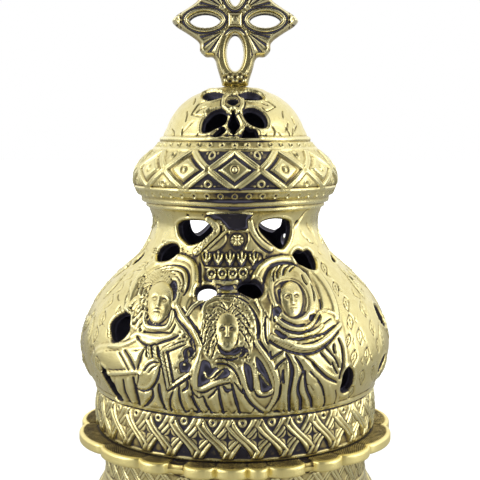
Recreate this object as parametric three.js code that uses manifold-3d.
// Standing brass censer: turned foot, knop, bowl with a scalloped rim, a lift-out
// ember pan, a hinged pierced cover with a cross finial, and a loop handle at the back.
// Millimetres, +Z up, origin at the centre of the foot's underside, front towards -Y.
import * as THREE from 'three';
import { mergeVertices } from 'three/addons/utils/BufferGeometryUtils.js';
import Module from 'manifold-3d';

const wasm = await Module();
wasm.setup();

// ---------------------------------------------------------------- driving dimensions
const RIM_TOP_Z = 98.0;          // top of the scalloped rim
const RIM_THICK = 3.3;
const RIM_TIP_R = 52.5;          // lobe tips
const RIM_CUSP_R = 49.6;         // cusps between lobes
const RIM_BORE_R = 37.6;
// Lobe boundaries in degrees from the front.
const RIM_BREAKS = [-86, -56, -34.5, -23.5, -17.4, -6.5, 4.3, 11.5, 24.7, 28.3, 39.8, 56, 84, 111, 136, 161, 199, 224, 249, 274];
const RIM_PLAIN_R = 49.3;
const RIM_PLAIN = 15;            // stretch without a lobe, which carries the hinge
const RIM_NOTCHES = [3, 8];       // stretches that are flat notches instead of lobes
const RIM_NOTCH_R = 49.0;
const SEAT_GAP = 0.3;            // clearance between stacked pieces
const COVER_Z0 = RIM_TOP_Z + SEAT_GAP;
const FOOT_R = 37.5;
const PLATE_R = 31.8;             // base disc inside the foot's rim
const PLATE_THICK = 1.2;
const FOOT_TOP_Z = 23.0;
const KNOP_Z0 = 23.3, KNOP_Z1 = 39.7;
const BOWL_Z0 = 40.0, BOWL_TOP_Z = 94.4;
const ROD_R = 2.4, ROD_HOLE_R = 2.8, ROD_Z0 = 13.4, ROD_Z1 = 49.6;
const PAN_RIM_R = 40.4, PAN_BODY_R = 36.6, PAN_FLOOR_Z = 71.0, PAN_WALL = 1.2;
const HINGE_Y = 52.2, HINGE_Z = 98.8;   // hinge axis, along X
const BARREL_R = 2.7, PIN_R = 1.1, PIN_HOLE_R = 1.35;
const KNUCKLE_IN = 3.9, KNUCKLE_OUT0 = 4.3, KNUCKLE_OUT1 = 9.5;
const CROSS_Z = 230.3;           // centre of the cross
const CROSS_THICK = 3.6;
const CROSS_BASE_Z = 209.6;
const STUD_R = 2.2, STUD_HOLE_R = 2.6;
const HANDLE_TOP_Z = 79.5, HANDLE_LOW_Z = 57.0;

const COVER_SEG = 36, BOWL_SEG = 32, FOOT_SEG = 28, PAN_SEG = 28;

// Turned profiles, [radius, height]. Cover heights are above the rim's top.
const COVER_OUT = [
  [45.3, 0.3], [46.1, 3], [46.2, 8], [45.8, 13], [48.1, 18], [50.2, 22.5], [51.0, 28],
  [49.9, 34], [46.1, 42], [41.3, 48], [34.9, 54], [30.2, 59], [27.5, 64.5],
  [26.95, 68.5], [29.65, 74], [32.5, 78], [33.3, 82], [31.4, 87], [25.95, 92], [21.5, 100], [18.9, 104],
  [14.2, 108], [9.45, 110], [5.0, 111.2],
];
const COVER_IN = [
  [STUD_HOLE_R, 111.3], [STUD_HOLE_R, 108.2], [7.0, 108.2], [12.4, 106], [18.4, 100], [23.0, 92],
  [30.2, 84.5], [29.6, 79], [24.4, 70], [25.3, 62.5],
  [33.2, 53], [43.2, 42], [48.3, 30], [47.2, 22], [43.3, 14],
  [42.8, 0.3],
];
const BOWL_OUT = [
  [11.2, 40.0], [17.5, 42.2], [24.5, 44.3], [31.0, 46.6], [36.6, 49.4], [41.6, 53], [45.3, 57],
  [47.6, 60.8], [48.8, 64.5], [48.9, 68], [47.9, 72.6], [46.5, 76], [44.3, 80], [43.4, 83], [43.4, 87],
  [43.8, 91], [44.6, 94.4],
];
const BOWL_IN = [
  [40.6, 94.4], [40.8, 88], [41.0, 83], [42.4, 79], [45.3, 72], [46.4, 67], [45.8, 62.4], [43.2, 57.4],
  [39.0, 53.2], [33.4, 49.9], [26.0, 47.2], [17.0, 44.8], [10.0, 43.0], [ROD_HOLE_R, 43.0], [ROD_HOLE_R, 40.0],
];
const FOOT_PROFILE = [
  [32.6, 0], [FOOT_R, 0], [FOOT_R, 2.6], [36.6, 3.6], [34.6, 4.2], [33.6, 6.2], [29.5, 8.6], [23.4, 11.6],
  [16.8, 15.4], [12.2, 19.4], [9.8, FOOT_TOP_Z], [ROD_HOLE_R, FOOT_TOP_Z], [ROD_HOLE_R, 20.0], [8.4, 20.0],
  [9.6, 17.6], [14.4, 13.4], [21.0, 9.3], [27.0, 6.1], [31.4, 3.8],
];
const KNOP_PROFILE = [
  [9.4, KNOP_Z0], [9.9, 24.8], [8.0, 26.2], [8.6, 27.8], [12.4, 29.7], [13.8, 31.6], [12.4, 33.5],
  [8.6, 35.4], [8.2, 37.0], [10.4, 38.3], [11.0, KNOP_Z1], [ROD_HOLE_R, KNOP_Z1], [ROD_HOLE_R, KNOP_Z0],
];
const PAN_PROFILE = [
  [0, PAN_FLOOR_Z], [28.0, PAN_FLOOR_Z], [33.4, 73.4], [36.0, 80.0], [PAN_BODY_R, 98.3], [PAN_RIM_R, 98.3],
  [PAN_RIM_R, 99.5], [PAN_BODY_R - PAN_WALL, 99.5], [34.8, 80.4], [32.5, 74.4], [27.6, 72.3], [0, 72.3],
];

// Pierced openings of the cover as [angle from the front in degrees, height above the rim].
// Positive angles turn towards +X. Each list is one opening.
const SKIRT_OPENINGS = {
  kite_left: [[-41.2, 67.4], [-36.5, 69], [-23.3, 69.5], [-15.9, 67.9], [-16.5, 65.7], [-29, 62.3], [-38.6, 64.6]],
  kite_right: [[16.3, 67.6], [20.2, 69.6], [34.3, 69.6], [39.6, 68], [36.2, 63.3], [29.1, 61.1], [20.7, 64.3]],
  oval_left: [[-53.4, 58.8], [-50.8, 61.3], [-42, 62.1], [-36.2, 60.5], [-37, 57.7], [-46.1, 56.2]],
  oval_right: [[35.3, 58.2], [42.5, 60.3], [51, 59.9], [53.3, 58.5], [45.3, 54.2], [38.4, 55.3]],
  slit_left: [[-71.6, 54.2], [-75, 55.7], [-71.8, 57.8], [-68.7, 56]],
  slit_right: [[70, 55.2], [76, 56.4], [82, 57.2], [77, 55.2]],
  round_left: [[-51.6, 37.2], [-50.8, 40.5], [-45.6, 42.3], [-40.8, 40.3], [-41.2, 36.6], [-46, 33.8]],
  round_right: [[71.2, 37.8], [73.9, 41.4], [78.5, 40.3], [80.4, 36.2], [76, 34.2]],
  slant_left: [[-51.9, 25.7], [-47.6, 22.5], [-45.4, 16.2], [-50.2, 14.8], [-52.7, 19.5]],
  slant_right: [[39, 23.8], [41.7, 26.9], [45.6, 23.4], [45.5, 18.4], [42.7, 18.1], [40.1, 20.1]],
  low_right: [[63.6, 23.7], [65.9, 25.8], [70.7, 26], [69.4, 23.2], [65, 21]],
  crown_left: [[-16.8, 49.8], [-15.1, 51.4], [-9.3, 51.3], [-8.1, 49.2], [-13, 47.3]],
  crown_right: [[0.9, 50.6], [3.7, 52.8], [10.5, 52.6], [12.6, 49.9], [9.1, 47.9], [2.9, 49.6]],
};
const SKIRT_REPEATS = 2;
// The back face has no right shoulder opening and carries a low one beside its middle figure instead.
const BACK_LEFT_OUT = 'oval_right';
const BACK_LOW_OPENING = [[6.5, 35.5], [8.5, 38.8], [13, 40.2], [17.5, 39], [20, 35.5], [17.5, 31.6], [13, 30.2], [8.5, 31.8]];
const DOME_OPENINGS = {
  petal_upper_left: [[-46, 108.0], [-37, 109.1], [-15, 108.6], [-15, 107.2], [-33, 106.5]],
  petal_upper_right: [[4.5, 108.1], [12, 109.0], [31.3, 109.0], [35.5, 107.9], [20, 106.5]],
  petal_lower_left: [[-26.3, 96.9], [-27.0, 100.4], [-16, 103.6], [-6.6, 101.4], [-10, 98.8]],
  petal_lower_right: [[7.3, 102], [14.0, 104], [26, 102.2], [27, 98.6], [16, 98.4]],
  diamond: [[-1, 103], [4.4, 98.9], [-0.9, 95.5], [-6, 98.9]],
};
const DOME_REPEATS = 1;           // the dome is pierced on the front only

// Finial outline in the first quadrant, from the side arm's tip to the top arm's tip.
const CROSS_QUADRANT = [
  [20.8, 0], [18.8, 2.0], [16.5, 3.3], [14.5, 4.6], [12.6, 5.9], [11.4, 7.3], [11.6, 9.6], [9.6, 11.6],
  [7.3, 11.4], [5.9, 12.6], [4.6, 14.5], [3.3, 16.5], [2.0, 18.8], [0, 20.8],
];
// Lower arm down to the finial's base, right side, from the corner leaf downwards.
const CROSS_STEM = [[7.3, -11.4], [6.4, -12.6], [5.9, -14.8], [5.1, -17.4], [4.4, -19.8]];

// ---------------------------------------------------------------- helpers
const DEG = Math.PI / 180;

function manifoldOf(geometry) {
  const g = geometry.clone();
  g.deleteAttribute('normal');
  if (g.attributes.uv) g.deleteAttribute('uv');
  const m = mergeVertices(g, 1e-4);
  const pos = m.attributes.position.array;
  const idx = m.index.array;
  const tris = [];
  for (let i = 0; i < idx.length; i += 3) {
    const a = idx[i], b = idx[i + 1], c = idx[i + 2];
    if (a !== b && b !== c && a !== c) tris.push(a, b, c);
  }
  let vol = 0;
  for (let i = 0; i < tris.length; i += 3) {
    const [a, b, c] = [tris[i] * 3, tris[i + 1] * 3, tris[i + 2] * 3];
    vol += pos[a] * (pos[b + 1] * pos[c + 2] - pos[b + 2] * pos[c + 1])
      - pos[a + 1] * (pos[b] * pos[c + 2] - pos[b + 2] * pos[c])
      + pos[a + 2] * (pos[b] * pos[c + 1] - pos[b + 1] * pos[c]);
  }
  if (vol < 0) {
    for (let i = 0; i < tris.length; i += 3) {
      const t = tris[i + 1]; tris[i + 1] = tris[i + 2]; tris[i + 2] = t;
    }
  }
  return new wasm.Manifold(new wasm.Mesh({
    numProp: 3, vertProperties: Float32Array.from(pos), triVerts: Uint32Array.from(tris),
  }));
}

function geometryOf(solid) {
  const m = solid.getMesh();
  const g = new THREE.BufferGeometry();
  const p = new Float32Array(m.numVert * 3);
  for (let i = 0; i < m.numVert; i++) {
    for (let k = 0; k < 3; k++) p[i * 3 + k] = m.vertProperties[i * m.numProp + k];
  }
  g.setAttribute('position', new THREE.BufferAttribute(p, 3));
  g.setIndex(new THREE.BufferAttribute(Uint32Array.from(m.triVerts), 1));
  g.computeVertexNormals();
  return g;
}

// Turned solid about Z. profile is [radius, height]; closed on itself unless both ends are on the axis.
function turned(profile, segments) {
  const pts = profile.map(([r, z]) => new THREE.Vector2(r, z));
  const first = profile[0], last = profile[profile.length - 1];
  if (!(first[0] === 0 && last[0] === 0)) pts.push(pts[0].clone());
  const g = new THREE.LatheGeometry(pts, segments);
  g.rotateX(Math.PI / 2);
  return manifoldOf(g);
}

function block(x0, x1, y0, y1, z0, z1) {
  const g = new THREE.BoxGeometry(x1 - x0, y1 - y0, z1 - z0);
  g.translate((x0 + x1) / 2, (y0 + y1) / 2, (z0 + z1) / 2);
  return manifoldOf(g);
}

// Round bar between two points.
function bar(a, b, r, segments = 20) {
  const A = new THREE.Vector3(...a), B = new THREE.Vector3(...b);
  const d = B.clone().sub(A);
  const g = new THREE.CylinderGeometry(r, r, d.length(), segments);
  g.applyQuaternion(new THREE.Quaternion().setFromUnitVectors(new THREE.Vector3(0, 1, 0), d.clone().normalize()));
  g.translate((A.x + B.x) / 2, (A.y + B.y) / 2, (A.z + B.z) / 2);
  return manifoldOf(g);
}

// Turned solid whose axis starts at a point and runs along a direction; profile is [radius, distance].
function turnedAlong(point, dir, profile, segments = 16) {
  const pts = profile.map(([r, h]) => new THREE.Vector2(r, h));
  const g = new THREE.LatheGeometry(pts, segments);
  g.applyQuaternion(new THREE.Quaternion().setFromUnitVectors(
    new THREE.Vector3(0, 1, 0), new THREE.Vector3(...dir).normalize()));
  g.translate(...point);
  return manifoldOf(g);
}

// Two-headed rivet. grip runs from h0 to h1 along dir from point; heads sit outside the grip.
function rivet(point, dir, h0, h1, shankR, headR, headH) {
  return turnedAlong(point, dir, [
    [0, h0 - headH], [headR * 0.6, h0 - headH * 0.9], [headR, h0 - headH * 0.35], [headR, h0],
    [shankR, h0], [shankR, h1], [headR, h1], [headR, h1 + headH * 0.35],
    [headR * 0.6, h1 + headH * 0.9], [0, h1 + headH],
  ], 10);
}

function along(point, dir, h) {
  const d = new THREE.Vector3(...dir).normalize();
  return [point[0] + d.x * h, point[1] + d.y * h, point[2] + d.z * h];
}

function hexNut(z0, z1, flatR, holeR) {
  const s = new THREE.Shape();
  for (let i = 0; i < 6; i++) {
    const a = (i + 0.5) * 60 * DEG;
    const x = Math.cos(a) * flatR / Math.cos(30 * DEG), y = Math.sin(a) * flatR / Math.cos(30 * DEG);
    if (i === 0) s.moveTo(x, y); else s.lineTo(x, y);
  }
  s.closePath();
  const h = new THREE.Path();
  h.absarc(0, 0, holeR, 0, Math.PI * 2, true);
  s.holes.push(h);
  const g = new THREE.ExtrudeGeometry(s, { depth: z1 - z0, bevelEnabled: false, curveSegments: 10 });
  g.translate(0, 0, z0);
  return manifoldOf(g);
}

function washer(z0, z1, r, holeR) {
  return turned([[holeR, z0], [r, z0], [r, z1], [holeR, z1]], 24);
}

// Radius and outward normal of the cover's outer face at a height above the rim.
function coverAt(h) {
  for (let i = 1; i < COVER_OUT.length; i++) {
    const [r0, h0] = COVER_OUT[i - 1], [r1, h1] = COVER_OUT[i];
    if (h <= h1) {
      const t = (h - h0) / (h1 - h0);
      const len = Math.hypot(r1 - r0, h1 - h0);
      return { r: r0 + (r1 - r0) * t, nr: (h1 - h0) / len, nh: -(r1 - r0) / len };
    }
  }
  return { r: 5, nr: 0, nh: 1 };
}

function coverPoint(angle, h) {
  const { r } = coverAt(h);
  return new THREE.Vector3(r * Math.sin(angle * DEG), -r * Math.cos(angle * DEG), RIM_TOP_Z + h);
}

// Prism through the cover's wall for one opening.
function openingCutter(outline, turn, inward, outward) {
  let ca = 0, ch = 0;
  for (const [a, h] of outline) { ca += a + turn; ch += h; }
  ca /= outline.length; ch /= outline.length;
  const c = coverAt(ch);
  const er = new THREE.Vector3(Math.sin(ca * DEG), -Math.cos(ca * DEG), 0);
  const n = er.clone().multiplyScalar(c.nr).add(new THREE.Vector3(0, 0, c.nh)).normalize();
  const u = new THREE.Vector3(Math.cos(ca * DEG), Math.sin(ca * DEG), 0);
  const v = n.clone().cross(u);
  const o = coverPoint(ca, ch);
  const flat = outline.map(([a, h]) => {
    const p = coverPoint(a + turn, h).sub(o);
    return new THREE.Vector2(p.dot(u), p.dot(v));
  });
  if (THREE.ShapeUtils.isClockWise(flat)) flat.reverse();
  const g = new THREE.ExtrudeGeometry(new THREE.Shape(flat), { depth: inward + outward, bevelEnabled: false });
  g.translate(0, 0, -inward);
  g.applyMatrix4(new THREE.Matrix4().makeBasis(u, v, n).setPosition(o));
  return manifoldOf(g);
}

// ---------------------------------------------------------------- materials
const MAT = {
  brass: [0xb59a4a, 0.34, 1.0], rimBrass: [0xc9ad58, 0.3, 1.0], finial: [0xc2a752, 0.3, 1.0],
  inner: [0x6d5a35, 0.6, 0.9], steel: [0x77756f, 0.45, 1.0], rivet: [0xa88c43, 0.4, 1.0],
};
const group = new THREE.Group();
function put(name, solid, kind) {
  const [color, roughness, metalness] = MAT[kind];
  const mesh = new THREE.Mesh(geometryOf(solid),
    new THREE.MeshStandardMaterial({ color, roughness, metalness }));
  mesh.name = name;
  group.add(mesh);
}

// ---------------------------------------------------------------- foot, knop and tie rod
put('foot', turned(FOOT_PROFILE, FOOT_SEG), 'brass');
// A thin disc closes the hollow foot, flush with its rim, so the censer stands on one flat face.
put('base_plate', turned([[0, 0], [PLATE_R, 0], [PLATE_R, PLATE_THICK], [0, PLATE_THICK]], FOOT_SEG), 'brass');
put('stem_knop', turned(KNOP_PROFILE, FOOT_SEG), 'brass');
put('tie_rod', bar([0, 0, ROD_Z0], [0, 0, ROD_Z1], ROD_R, 24), 'steel');
put('foot_washer', washer(18.7, 19.7, 6.2, ROD_HOLE_R), 'steel');
put('foot_nut', hexNut(14.6, 18.4, 4.2, ROD_HOLE_R), 'steel');
put('bowl_washer', washer(43.3, 44.3, 6.2, ROD_HOLE_R), 'steel');
put('bowl_nut', hexNut(44.6, 48.4, 4.2, ROD_HOLE_R), 'steel');

// ---------------------------------------------------------------- bowl, rim and ember pan
const bowlSolid = turned([...BOWL_OUT, ...BOWL_IN], BOWL_SEG);
const bowlKeepOut = turned([[0, 40.0 - 0.3], ...BOWL_OUT.map(([r, z]) => [r + 0.3, z]), [0, 94.4]], BOWL_SEG);

// Handle fixing points: on the bowl's back, each with the direction its rivets run.
function slopeDir(z) {
  for (let i = 1; i < BOWL_OUT.length; i++) {
    const [r0, z0] = BOWL_OUT[i - 1], [r1, z1] = BOWL_OUT[i];
    if (z <= z1) {
      const len = Math.hypot(r1 - r0, z1 - z0), t = (z - z0) / (z1 - z0);
      return { r: r0 + (r1 - r0) * t, ny: (z1 - z0) / len, nz: -(r1 - r0) / len };
    }
  }
  return null;
}
const RIVET_X = 7.4;
const pads = [HANDLE_TOP_Z, HANDLE_LOW_Z].map((z) => {
  const s = slopeDir(z);
  return { z, r: s.r, n: [0, s.ny, s.nz] };
});
const handleRivets = [];
for (const [pad, label] of [[pads[0], 'upper'], [pads[1], 'lower']]) {
  for (const [sx, side] of [[-1, 'left'], [1, 'right']]) {
    const y = Math.sqrt(pad.r * pad.r - RIVET_X * RIVET_X);
    handleRivets.push({ name: `handle_rivet_${label}_${side}`, at: [sx * RIVET_X, y, pad.z], dir: pad.n });
  }
}
let bowl = bowlSolid;
for (const r of handleRivets) bowl = bowl.subtract(bar(along(r.at, r.dir, -7), along(r.at, r.dir, 4), 1.6, 10));
put('bowl', bowl, 'brass');

const rimShape = new THREE.Shape();
const rimPoints = [];
for (let i = 0; i + 1 < RIM_BREAKS.length; i++) {
  const a0 = RIM_BREAKS[i], a1 = RIM_BREAKS[i + 1];
  const notch = RIM_NOTCHES.includes(i);
  const steps = notch ? 2 : Math.max(4, Math.round((a1 - a0) / 3.6));
  for (let k = 0; k < steps; k++) {
    const t = k / steps;
    let r = RIM_CUSP_R + (RIM_TIP_R - RIM_CUSP_R) * Math.pow(Math.sin(Math.PI * t), 0.5);
    let t2 = t;
    if (notch) { r = RIM_NOTCH_R; t2 = 0.1 + 0.8 * k; }
    if (i === RIM_PLAIN) r = RIM_PLAIN_R;
    rimPoints.push([r, a0 + (a1 - a0) * t2]);
  }
}
rimPoints.forEach(([r, deg], i) => {
  const x = r * Math.sin(deg * DEG), y = -r * Math.cos(deg * DEG);
  if (i === 0) rimShape.moveTo(x, y); else rimShape.lineTo(x, y);
});
rimShape.closePath();
const rimBore = new THREE.Path();
rimBore.absarc(0, 0, RIM_BORE_R, 0, Math.PI * 2, true);
rimShape.holes.push(rimBore);
const rimGeo = new THREE.ExtrudeGeometry(rimShape, { depth: RIM_THICK, bevelEnabled: false, curveSegments: 30 });
rimGeo.translate(0, 0, RIM_TOP_Z - RIM_THICK);
const LEAF_SCREW_X = 6.3, LEAF_SCREW_Y = 46.7;
let rim = manifoldOf(rimGeo).subtract(block(-11, 11, 48.7, 56, 90, 102));
for (const sx of [-1, 1]) {
  rim = rim.subtract(bar([sx * LEAF_SCREW_X, LEAF_SCREW_Y, 93], [sx * LEAF_SCREW_X, LEAF_SCREW_Y, 97.1], 1.5, 10));
}
put('scalloped_rim', rim, 'rimBrass');
put('ember_pan', turned(PAN_PROFILE, PAN_SEG), 'inner');

// ---------------------------------------------------------------- hinge
const pinHole = bar([-14, HINGE_Y, HINGE_Z], [14, HINGE_Y, HINGE_Z], PIN_HOLE_R, 20);
let bowlLeaf = bar([KNUCKLE_OUT0, HINGE_Y, HINGE_Z], [KNUCKLE_OUT1, HINGE_Y, HINGE_Z], BARREL_R, 24)
  .add(bar([-KNUCKLE_OUT1, HINGE_Y, HINGE_Z], [-KNUCKLE_OUT0, HINGE_Y, HINGE_Z], BARREL_R, 24))
  .add(block(KNUCKLE_OUT0, KNUCKLE_OUT1, 50.2, 52.5, 95, HINGE_Z))
  .add(block(-KNUCKLE_OUT1, -KNUCKLE_OUT0, 50.2, 52.5, 95, HINGE_Z))
  .add(block(-KNUCKLE_OUT1, KNUCKLE_OUT1, 50.2, 52.5, 91.6, 95.6))
  .add(block(-KNUCKLE_OUT1, KNUCKLE_OUT1, 45.4, 52.5, 91.6, 94.3))
  .subtract(pinHole);
for (const sx of [-1, 1]) {
  bowlLeaf = bowlLeaf.subtract(
    bar([sx * LEAF_SCREW_X, LEAF_SCREW_Y, 90], [sx * LEAF_SCREW_X, LEAF_SCREW_Y, 96], 1.5, 10));
}
put('bowl_hinge_leaf', bowlLeaf, 'brass');
for (const [sx, side] of [[-1, 'left'], [1, 'right']]) {
  put(`rim_screw_${side}`, turnedAlong([sx * LEAF_SCREW_X, LEAF_SCREW_Y, 0], [0, 0, 1], [
    [0, 90.0], [1.4, 90.1], [2.2, 90.7], [2.2, 91.3], [1.2, 91.3], [1.2, 96.8], [0, 96.8],
  ], 14), 'steel');
}

const strapShape = new THREE.Shape();
const STRAP_IN = 46.6, STRAP_OUT = 48.4, STRAP_HALF = 9.2, STRAP_STEPS = 6;
for (let i = 0; i <= STRAP_STEPS; i++) {
  const a = (-STRAP_HALF + (2 * STRAP_HALF * i) / STRAP_STEPS) * DEG;
  const x = STRAP_IN * Math.sin(a), y = STRAP_IN * Math.cos(a);
  if (i === 0) strapShape.moveTo(x, y); else strapShape.lineTo(x, y);
}
for (let i = STRAP_STEPS; i >= 0; i--) {
  const a = (-STRAP_HALF + (2 * STRAP_HALF * i) / STRAP_STEPS) * DEG;
  strapShape.lineTo(STRAP_OUT * Math.sin(a), STRAP_OUT * Math.cos(a));
}
strapShape.closePath();
const strapGeo = new THREE.ExtrudeGeometry(strapShape, { depth: 11.2, bevelEnabled: false });
strapGeo.translate(0, 0, 100.6);
const COVER_RIVET_X = 4.6, COVER_RIVET_Z = 107.0;
let coverLeaf = manifoldOf(strapGeo)
  .add(bar([-KNUCKLE_IN, HINGE_Y, HINGE_Z], [KNUCKLE_IN, HINGE_Y, HINGE_Z], BARREL_R, 24))
  .add(block(-KNUCKLE_IN, KNUCKLE_IN, 47.2, HINGE_Y, 99.0, 101.9))
  .subtract(pinHole);
for (const sx of [-1, 1]) {
  coverLeaf = coverLeaf.subtract(
    bar([sx * COVER_RIVET_X, 40, COVER_RIVET_Z], [sx * COVER_RIVET_X, 52, COVER_RIVET_Z], 1.5, 10));
}
put('cover_hinge_leaf', coverLeaf, 'brass');
put('hinge_pin', turnedAlong([0, HINGE_Y, HINGE_Z], [1, 0, 0], [
  [0, -11.4], [1.3, -11.2], [1.9, -10.6], [1.9, -9.8], [PIN_R, -9.8], [PIN_R, 9.8], [1.8, 9.8],
  [1.8, 10.5], [1.2, 11.0], [0, 11.2],
], 20), 'steel');

// ---------------------------------------------------------------- cover
let cover = turned([...COVER_OUT.map(([r, h]) => [r, RIM_TOP_Z + h]),
  ...COVER_IN.map(([r, h]) => [r, RIM_TOP_Z + h])], COVER_SEG);
for (const sx of [-1, 1]) {
  cover = cover.subtract(
    bar([sx * COVER_RIVET_X, 40, COVER_RIVET_Z], [sx * COVER_RIVET_X, 52, COVER_RIVET_Z], 1.6, 10));
  put(`cover_rivet_${sx < 0 ? 'left' : 'right'}`,
    rivet([sx * COVER_RIVET_X, 0, COVER_RIVET_Z], [0, 1, 0], 42.2, 48.75, 1.2, 2.1, 1.0), 'rivet');
}
for (let k = 0; k < SKIRT_REPEATS; k++) {
  for (const [name, o] of Object.entries(SKIRT_OPENINGS)) {
    if (k === 1 && name === BACK_LEFT_OUT) continue;
    cover = cover.subtract(openingCutter(o, (k * 360) / SKIRT_REPEATS, 6, 4));
  }
}
cover = cover.subtract(openingCutter(BACK_LOW_OPENING, 180, 6, 4));
for (let k = 0; k < DOME_REPEATS; k++) {
  for (const o of Object.values(DOME_OPENINGS)) {
    cover = cover.subtract(openingCutter(o, (k * 360) / DOME_REPEATS, 4.5, 3));
  }
}
put('cover', cover, 'brass');

// ---------------------------------------------------------------- cross finial
const outline = [];
for (const [x, z] of CROSS_QUADRANT) outline.push([x, z]);
for (let i = CROSS_QUADRANT.length - 2; i >= 0; i--) outline.push([-CROSS_QUADRANT[i][0], CROSS_QUADRANT[i][1]]);
for (let i = 1; i < 8; i++) outline.push([-CROSS_QUADRANT[i][0], -CROSS_QUADRANT[i][1]]);
for (const [x, z] of CROSS_STEM) outline.push([-x, z]);
for (let i = CROSS_STEM.length - 1; i >= 0; i--) outline.push(CROSS_STEM[i]);
for (let i = 7; i >= 1; i--) outline.push([CROSS_QUADRANT[i][0], -CROSS_QUADRANT[i][1]]);
const crossShape = new THREE.Shape(outline.map(([x, z]) => new THREE.Vector2(x, z)));
function almond(cx, cz, halfLen, halfWid, upright) {
  const p = new THREE.Path();
  const pts = [];
  for (let i = 0; i < 12; i++) {
    const a = i * 30 * DEG;
    const l = halfLen * Math.cos(a), w = halfWid * Math.sin(a) * (1 - 0.25 * Math.abs(Math.cos(a)));
    pts.push(upright ? new THREE.Vector2(cx + w, cz + l) : new THREE.Vector2(cx + l, cz + w));
  }
  p.setFromPoints(THREE.ShapeUtils.isClockWise(pts) ? pts : pts.reverse());
  p.closePath();
  return p;
}
crossShape.holes.push(almond(-9.7, 0, 4.9, 2.1, false), almond(9.7, 0, 4.9, 2.1, false),
  almond(0, -10.3, 5.5, 2.5, true), almond(0, 10.0, 5.2, 2.3, true));
const crossGeo = new THREE.ExtrudeGeometry(crossShape, { depth: CROSS_THICK, bevelEnabled: false });
crossGeo.rotateX(Math.PI / 2);
crossGeo.translate(0, CROSS_THICK / 2, CROSS_Z);
const cross = manifoldOf(crossGeo)
  .add(turnedAlong([0, 0, 0], [0, 0, 1], [
    [0, 201.4], [STUD_R, 201.4], [STUD_R, CROSS_BASE_Z], [4.7, CROSS_BASE_Z], [4.9, 210.4], [4.1, 211.4], [0, 211.4],
  ], 24));
put('cross_finial', cross, 'finial');
put('finial_washer', washer(204.9, 205.9, 5.4, STUD_HOLE_R), 'steel');
put('finial_nut', hexNut(201.9, 204.6, 3.9, STUD_HOLE_R), 'steel');

// ---------------------------------------------------------------- handle
const path = new THREE.CatmullRomCurve3([
  new THREE.Vector3(0, 44.5, 79.0), new THREE.Vector3(0, 50, 81.2), new THREE.Vector3(0, 58, 85.0),
  new THREE.Vector3(0, 68, 86.4), new THREE.Vector3(0, 77, 82.0), new THREE.Vector3(0, 80.5, 72.5),
  new THREE.Vector3(0, 77, 62.0), new THREE.Vector3(0, 68, 54.5), new THREE.Vector3(0, 57, 51.2),
  new THREE.Vector3(0, 49, 54.2), new THREE.Vector3(0, 43.5, 58.0),
], false, 'centripetal');
const grip = new THREE.Shape();
grip.absellipse(0, 0, 2.5, 3.4, 0, Math.PI * 2, false, 0);
let handle = manifoldOf(new THREE.ExtrudeGeometry(grip,
  { steps: 26, extrudePath: path, bevelEnabled: false, curveSegments: 3 }));
for (const pad of pads) {
  const s = new THREE.Shape();
  s.absellipse(0, 0, 11.2, 4.6, 0, Math.PI * 2, false, 0);
  const g = new THREE.ExtrudeGeometry(s, { depth: 8.6, bevelEnabled: false, curveSegments: 6 });
  g.translate(0, 0, -6);
  const n = new THREE.Vector3(...pad.n), u = new THREE.Vector3(1, 0, 0), v = n.clone().cross(u);
  g.applyMatrix4(new THREE.Matrix4().makeBasis(u, v, n).setPosition(0, pad.r, pad.z));
  handle = handle.add(manifoldOf(g));
}
// thumb rest: a small leaf on top of the loop
const thumb = new THREE.Shape();
thumb.absellipse(0, 0, 6.2, 8.0, 0, Math.PI * 2, false, 0);
const thumbGeo = new THREE.ExtrudeGeometry(thumb, { depth: 2.2, bevelEnabled: false, curveSegments: 5 });
thumbGeo.rotateX(8 * DEG);
thumbGeo.translate(0, 66.5, 87.4);
handle = handle.add(manifoldOf(thumbGeo)).subtract(bowlKeepOut);
for (const r of handleRivets) {
  handle = handle.subtract(bar(along(r.at, r.dir, -7), along(r.at, r.dir, 5), 1.6, 10));
  put(r.name, rivet(r.at, r.dir, -3.4, 3.15, 1.25, 2.2, 1.1), 'rivet');
}
put('handle', handle, 'brass');

export default group;
